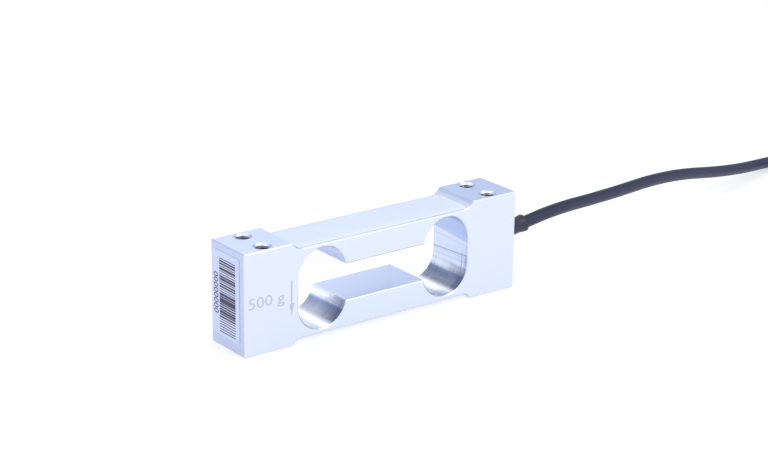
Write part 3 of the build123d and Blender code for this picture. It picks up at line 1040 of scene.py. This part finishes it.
def bulge(x, y):
    """Slow unevenness of poured silicone, from 0 to 1, in waves of 11 to 48 mm."""
    first = math.sin(x * 410.0 + 0.7) * math.sin(y * 560.0 + x * 130.0)
    second = math.sin(x * 173.0 - 1.1) * math.cos(y * 300.0)
    return 0.5 + 0.25 * first + 0.25 * second


class LOADCELL_OT_silicone(bpy.types.Operator):
    """Pours the silicone over the gauges above and over the gauges, strip and wires below"""

    bl_idname = "loadcell.silicone"
    bl_label = "Silicone"

    # How the skin falls to its rim and sags, where its points crowd, and how its long edges wander
    rim_share = 0.12
    sag_share = 0.04
    roundness = 9
    crowding = 1.6
    sunk = 0.00001
    wander = 0.0002
    wander_place = (0.021, 0.002)

    def execute(self, context):
        settings = context.scene.loadcell_beam
        for side, name in ((1, "top"), (-1, "bottom")):
            low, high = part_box(f"sealant_{name}")
            mesh = self.make_pour(side, high.z - low.z, high.y)
            material = make_silicone(settings, f"silicone_{name}", silicone_alpha)
            pour = add_piece(f"silicone_{name}", mesh, material)
            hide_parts(f"sealant_{name}")
        return {"FINISHED"}

    def pour_point(self, side, thickness, half_width, layer, along, across):
        """Point of the pour's lower or upper layer, at shares of its half length and half width."""
        across = math.copysign(1.0 - (1.0 - abs(across)) ** self.crowding, across)
        rounded = math.sqrt(max(0.0, 1.0 - abs(across) ** self.roundness))
        level = thickness * mix_values(self.rim_share, 1.0, rounded)
        level -= thickness * self.sag_share * bulge(along * relief_centre, across * half_width) * rounded
        level *= layer
        reach = relief_centre + math.sqrt(relief_cutter**2 - (relief_cutter - level) ** 2)
        far, aside = self.wander_place
        edge = half_width - self.wander * bulge(along * far, math.copysign(aside, across))
        height = mid_height + side * relieved_half + side * (level - self.sunk * (1 - layer))
        return along * reach, across * edge, height

    def make_pour(self, side, thickness, half_width):
        """Closed body on one milled face: flat below, softly uneven above, thin at its long edges."""
        columns, rows = 120, 26
        points, faces = [], []
        for layer in (0, 1):
            for i in range(columns + 1):
                along = 2.0 * i / columns - 1.0
                for j in range(rows + 1):
                    across = 2.0 * j / rows - 1.0
                    points.append(self.pour_point(side, thickness, half_width, layer, along, across))
        width = rows + 1
        shift = (columns + 1) * width
        for i in range(columns):
            for j in range(rows):
                corner = i * width + j
                lower = (corner, corner + 1, corner + width + 1, corner + width)
                faces.append(lower)
                faces.append(tuple(shift + lower[index] for index in (0, 3, 2, 1)))
        rim = [i * width for i in range(columns + 1)] + [columns * width + j for j in range(1, width)]
        rim += [i * width + rows for i in range(columns - 1, -1, -1)] + list(range(rows - 1, 0, -1))
        for before, after in zip(rim, rim[1:] + rim[:1]):
            faces.append((before, after, shift + after, shift + before))
        return mesh_from("pour", points, faces)


class LOADCELL_OT_gauges(bpy.types.Operator):
    """Finishes the strain gauges, the terminal strip, the chips and the gauge wires"""

    bl_idname = "loadcell.gauges"
    bl_label = "Gauges and Wiring"

    film_thickness = 0.00005
    laminate_thickness = 0.00015
    chip_half_body = 0.0005

    def execute(self, context):
        film_top = relieved_half + self.film_thickness
        foil = make_layered("gauge_film", (0.62, 0.33, 0.07), (0.72, 0.66, 0.52), film_top, 0.9, 0.25)
        strip_top = relieved_half + self.laminate_thickness
        strip = make_layered("strip_laminate", (0.05, 0.20, 0.09), (0.75, 0.60, 0.42), strip_top, 1.0, 0.4)
        enamel = soft_material("enamelled_wire", (0.42, 0.11, 0.035), Metallic=0.6)
        for end in ("load_end", "cable_end"):
            for face in ("top", "bottom"):
                dress(f"gauge_{face}_{end}", foil)
        dress("terminal_strip", strip)
        for name in ("zero_resistor", "span_resistor"):
            dress(name, make_chip(name, self.chip_half_body))
        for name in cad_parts:
            if name.startswith("wire_"):
                dress(name, enamel)
        return {"FINISHED"}


def bars_tree():
    """Geometry Nodes tree that prints a column of bars, each one, two or three modules high."""
    floats = dict.fromkeys(("Module", "Pitch", "Bar Length", "Thickness"), "Float")
    kinds = {"Start": "Vector", **floats, "Bars": "Int", "Seed": "Int", "Ink": "Material"}
    tree, sockets, given = new_tree("Printed Bars", kinds)
    rise = grow(tree, "ShaderNodeCombineXYZ", {2: given["Pitch"]})
    column = {"Count": given["Bars"], "Start Location": given["Start"], "Offset": rise}
    line = grow(tree, "GeometryNodeMeshLine", column)
    fewest, most = 1, 3
    limits = {4: fewest, 5: most, "Seed": given["Seed"]}
    chosen = add_node(tree, "FunctionNodeRandomValue", limits, data_type="INT").outputs[2]
    tall = grow(tree, "ShaderNodeCombineXYZ", {0: 1.0, 1: 1.0, 2: chosen})
    sizes = {0: given["Thickness"], 1: given["Bar Length"], 2: given["Module"]}
    bar = grow(tree, "GeometryNodeMeshCube", {"Size": grow(tree, "ShaderNodeCombineXYZ", sizes)})
    copies = {"Points": line, "Instance": bar, "Scale": tall}
    finish_tree(tree, grow(tree, "GeometryNodeInstanceOnPoints", copies), given["Ink"])
    return tree, sockets


def text_mesh(words, place, size, thickness):
    """Flat lettering, stretched to a width and a height and set in place."""
    data = bpy.data.curves.new("lettering", "FONT")
    data.body = words
    data.align_x = "CENTER"
    data.align_y = "CENTER"
    data.resolution_u = 5
    data.extrude = 0.5
    item = new_object("lettering", data)
    bpy.context.view_layer.update()
    mesh = plain_mesh(item)
    bpy.data.objects.remove(item)
    middle, scale = [], []
    for axis, wanted in enumerate(size):
        spread = [vertex.co[axis] for vertex in mesh.vertices]
        middle.append(-(min(spread) + max(spread)) / 2)
        scale.append(wanted / (max(spread) - min(spread)))
    mesh.transform(place @ Matrix.Diagonal((*scale, thickness, 1)) @ Matrix.Translation((*middle, 0)))
    return mesh


def standing_frame(place, right, up):
    """Matrix that puts flat lettering at a place, reading to the right, with its top upwards."""
    right, up = Vector(right), Vector(up)
    out = right.cross(up)
    matrix = Matrix((right, up, out)).transposed().to_4x4()
    matrix.translation = Vector(place)
    return matrix


class LOADCELL_OT_label(bpy.types.Operator):
    """Makes the end label, with its saw-toothed edges, printed bars and plain figures"""

    bl_idname = "loadcell.label"
    bl_label = "End Label"

    def execute(self, context):
        settings = context.scene.loadcell_label
        paper = soft_material("label_paper", settings.paper)
        label = add_piece("end_label_paper", self.make_paper(), paper, False)
        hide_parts("end_label")
        ink = soft_material("label_ink", settings.ink)
        front = label_low.x - print_thickness / 2
        across, middle = bars_centre
        tree, sockets = bars_tree()
        values = {
            "Start": (front, across, middle - settings.bar_pitch * (settings.bar_count - 1) / 2),
            "Module": settings.bar_module,
            "Pitch": settings.bar_pitch,
            "Bars": settings.bar_count,
            "Bar Length": settings.bar_length,
            "Thickness": print_thickness,
            "Seed": settings.bar_seed,
            "Ink": ink,
        }
        run_tree("label_bars", bpy.data.meshes.new("bars_start"), tree, sockets, values)
        place = standing_frame((front, *digits_centre), (0, 0, -1), (0, -1, 0))
        figures = text_mesh(settings.digits, place, digits_size, print_thickness)
        add_piece("label_figures", figures, ink, False)
        return {"FINISHED"}

    def make_paper(self):
        """Outline with fine teeth down both long edges, as thick as the label."""
        tooth, count, corner = 0.0001, 50, 0.0005
        rise = (label_high.z - label_low.z - 2 * corner) / (2 * count)
        sides = []
        for y, outward in ((label_low.y, -1), (label_high.y, 1)):
            edge = [(y - outward * corner, label_low.z)]
            for index in range(2 * count + 1):
                notch = tooth * (index % 2)
                edge.append((y - outward * notch, label_low.z + corner + rise * index))
            edge.append((y - outward * corner, label_high.z))
            sides.append(edge)
        outline = sides[0] + sides[1][::-1]
        near = [(label_high.x, y, z) for y, z in outline]
        far = [(label_low.x, y, z) for y, z in outline]
        return prism_mesh("end_label_paper", near, far)


class LOADCELL_OT_marks(bpy.types.Operator):
    """Etches the load arrow and the rated load on the front of the free end"""

    bl_idname = "loadcell.marks"
    bl_label = "Etched Marks"

    def execute(self, context):
        settings = context.scene.loadcell_beam
        etched = soft_material("etched_marks", settings.etched, Metallic=0.35)
        shaft, wing = arrow_shaft, arrow_wing
        outline = [(-shaft, arrow_top), (shaft, arrow_top), (shaft, arrow_head), (wing, arrow_head)]
        outline += [(0.0, arrow_tip), (-wing, arrow_head), (-shaft, arrow_head)]
        near = [(arrow_x + x, beam_low.y + etch_depth, z) for x, z in outline]
        far = [(arrow_x + x, beam_low.y - etch_depth, z) for x, z in outline]
        add_piece("load_arrow", prism_mesh("load_arrow", near, far), etched, False)
        x, z = capacity_centre
        place = standing_frame((x, beam_low.y - etch_depth / 2, z), (1, 0, 0), (0, 0, 1))
        words = text_mesh(settings.capacity, place, capacity_size, 2 * etch_depth)
        add_piece("rated_load", words, etched, False)
        return {"FINISHED"}


def make_world(settings):
    """Room of soft light: bright above and in front, dimmer behind but for two lamps.

    It is white where the camera sees it.
    """
    world = bpy.data.worlds.new("soft_room")
    bpy.context.scene.world = world
    world.use_nodes = True
    tree = world.node_tree
    way = add_node(tree, "ShaderNodeTexCoord").outputs["Generated"]
    _, ahead, high = read_axes(tree, "Generated")
    room = high.step(0.30, 0.95).most(ahead.step(0.15, -0.35)).blend(settings.horizon, settings.sky)
    for aim, edge, glow in room_lamps:
        inputs = {0: way, 1: Vector(aim).normalized()}
        made = add_node(tree, "ShaderNodeVectorMath", inputs, operation="DOT_PRODUCT")
        lamp = Wire(tree, made.outputs["Value"]).step(edge, mix_values(edge, 1.0, lamp_softness))
        room = lamp.blend(room, (glow, glow, glow * lamp_blue))
    seen = Wire(tree, add_node(tree, "ShaderNodeLightPath").outputs["Is Camera Ray"])
    give(tree, tree.nodes["Background"].inputs["Color"], seen.blend(room, white))


class LOADCELL_OT_stage(bpy.types.Operator):
    """Sets up the camera, the pale floor and the soft light"""

    bl_idname = "loadcell.stage"
    bl_label = "Stage"

    def execute(self, context):
        settings = context.scene.loadcell_stage
        self.make_camera(context, settings)
        make_world(settings)
        self.make_floor(settings)
        for name, (place, size, power) in table_lights.items():
            self.make_light(name, place, size, power)
        context.scene.view_settings.view_transform = "Standard"
        return {"FINISHED"}

    def make_camera(self, context, settings):
        """Camera at a distance from its target, looking at it."""
        data = bpy.data.cameras.new("camera")
        data.sensor_fit = "HORIZONTAL"
        data.sensor_width = 36.0
        data.lens = settings.lens
        data.clip_start = 0.01
        data.clip_end = 20.0
        around = Matrix.Rotation(settings.azimuth, 4, "Z")
        above = Matrix.Rotation(math.pi / 2 - settings.elevation, 4, "X")
        tilt = Matrix.Rotation(settings.roll, 4, "Z")
        back = Matrix.Translation((0.0, 0.0, settings.distance))
        camera = new_object("camera", data)
        camera.matrix_world = Matrix.Translation(settings.target) @ around @ above @ tilt @ back
        context.scene.camera = camera

    def make_floor(self, settings):
        """Wide white table under the load cell."""
        half = 3.0
        corners = [(-half, -half, 0), (half, -half, 0), (half, half, 0), (-half, half, 0)]
        mesh = bpy.data.meshes.new("floor")
        mesh.from_pydata(corners, [], [(0, 1, 2, 3)])
        floor = new_object("floor", mesh)
        glow = {"Specular_IOR_Level": 0.2, "Emission_Strength": settings.floor_glow}
        table = soft_material("floor", settings.floor, **glow)
        table.node_tree.nodes["Principled BSDF"].inputs["Emission Color"].default_value = (*white, 1.0)
        mesh.materials.append(table)

    def make_light(self, name, place, size, power):
        """Square lamp that shines at the middle of the frame."""
        data = bpy.data.lights.new(name, "AREA")
        data.shape = "SQUARE"
        data.size = size
        data.energy = power
        light = new_object(name, data)
        light.location = place
        light.rotation_mode = "QUATERNION"
        light.rotation_quaternion = (-Vector(place)).to_track_quat("-Z", "Y")


class LOADCELL_PT_sidebar(bpy.types.Panel):
    """Lists the pieces of the load cell and their settings"""

    bl_label = "Load Cell"
    bl_idname = "LOADCELL_PT_sidebar"
    bl_space_type = "VIEW_3D"
    bl_region_type = "UI"
    bl_category = "Load Cell"

    def draw(self, context):
        layout = self.layout
        for operator in operators:
            layout.operator(operator.bl_idname)
        for name in groups:
            settings = getattr(context.scene, name)
            box = layout.box()
            for label in settings.__annotations__:
                box.prop(settings, label)


operators = (
    LOADCELL_OT_stage,
    LOADCELL_OT_cable,
    LOADCELL_OT_boot,
    LOADCELL_OT_cable_tip,
    LOADCELL_OT_beam,
    LOADCELL_OT_threads,
    LOADCELL_OT_silicone,
    LOADCELL_OT_gauges,
    LOADCELL_OT_label,
    LOADCELL_OT_marks,
)
groups = {
    "loadcell_beam": BeamSettings,
    "loadcell_label": LabelSettings,
    "loadcell_cable": CableSettings,
    "loadcell_stage": StageSettings,
}


def register():
    for name, group in groups.items():
        bpy.utils.register_class(group)
        setattr(bpy.types.Scene, name, bpy.props.PointerProperty(type=group))
    for item in (*operators, LOADCELL_PT_sidebar):
        bpy.utils.register_class(item)


def unregister():
    for item in (LOADCELL_PT_sidebar, *reversed(operators)):
        bpy.utils.unregister_class(item)
    for name, group in groups.items():
        delattr(bpy.types.Scene, name)
        bpy.utils.unregister_class(group)


def main():
    register()
    bpy.ops.loadcell.stage()
    bpy.ops.loadcell.cable()
    bpy.ops.loadcell.boot()
    bpy.ops.loadcell.cable_tip()
    bpy.ops.loadcell.beam()
    bpy.ops.loadcell.threads()
    bpy.ops.loadcell.silicone()
    bpy.ops.loadcell.gauges()
    bpy.ops.loadcell.label()
    bpy.ops.loadcell.marks()


if __name__ == "__main__":
    main()
